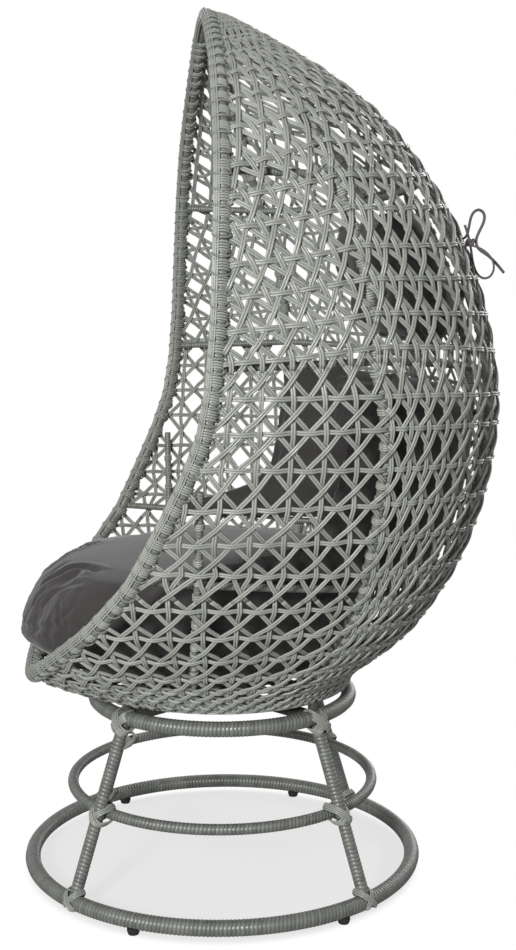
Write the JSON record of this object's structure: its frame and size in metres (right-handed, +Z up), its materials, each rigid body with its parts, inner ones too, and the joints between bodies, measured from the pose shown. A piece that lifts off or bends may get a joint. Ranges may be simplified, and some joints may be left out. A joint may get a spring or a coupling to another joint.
{
  "type": "standing egg chair",
  "caption": "Teardrop egg chair woven from grey synthetic cane, standing on a splayed ring base, with tufted seat, back and head cushions",
  "frame": {"origin": "on the floor, under the middle of the chair's bounding box", "axes": "+Z up, the open front faces -Y, +X is the right side seen from the front of the frame toward +Y"},
  "size_m": [1.0464, 0.8591, 1.5628],
  "materials": {
    "wicker": "round synthetic cane in mid grey, woven and wrapped",
    "wicker_dark": "the same cane, wrapped closely and in shade",
    "dark_steel": "dark grey powder coat",
    "black_plastic": "moulded black plastic",
    "cushion_fabric": "matt warm grey polyester, soft filled"
  },
  "bodies": {
    "root": {"base_ring_floor": "wicker", "base_ring_middle": "wicker", "base_ring_top": "wicker", "leg_front_right": "wicker", "leg_rear_right": "wicker", "leg_rear_left": "wicker", "leg_front_left": "wicker", "base_cross": "dark_steel", "basket_stubs": "dark_steel", "glide_front_right": "black_plastic", "glide_rear_right": "black_plastic", "glide_rear_left": "black_plastic", "glide_front_left": "black_plastic", "rim": "wicker_dark", "spine": "wicker", "rear_rib_right": "wicker", "rear_rib_left": "wicker", "side_rib_right": "wicker", "side_rib_left": "wicker", "front_rib_right": "wicker", "front_rib_left": "wicker", "hoop_upper": "wicker", "hoop_middle": "wicker", "hoop_lower": "wicker", "seat_ring": "wicker_dark", "weave_bottom": "wicker_dark", "weave_bowl_front_right": "wicker", "weave_bowl_side_right": "wicker", "weave_bowl_rear_right": "wicker", "weave_bowl_rear_left": "wicker", "weave_bowl_side_left": "wicker", "weave_bowl_front_left": "wicker", "weave_seat_front_right": "wicker", "weave_seat_side_right": "wicker", "weave_seat_rear_right": "wicker", "weave_seat_rear_left": "wicker", "weave_seat_side_left": "wicker", "weave_seat_front_left": "wicker", "weave_back_front_right": "wicker", "weave_back_side_right": "wicker", "weave_back_rear_right": "wicker", "weave_back_rear_left": "wicker", "weave_back_side_left": "wicker", "weave_back_front_left": "wicker", "weave_hood_front_right": "wicker", "weave_hood_side_right": "wicker", "weave_hood_rear_right": "wicker", "weave_hood_rear_left": "wicker", "weave_hood_side_left": "wicker", "weave_hood_front_left": "wicker", "cushion_seat": "cushion_fabric", "cushion_back": "cushion_fabric", "cushion_head": "cushion_fabric", "cushion_tie_right": "cushion_fabric", "cushion_tie_left": "cushion_fabric"}
  },
  "joints": []
}
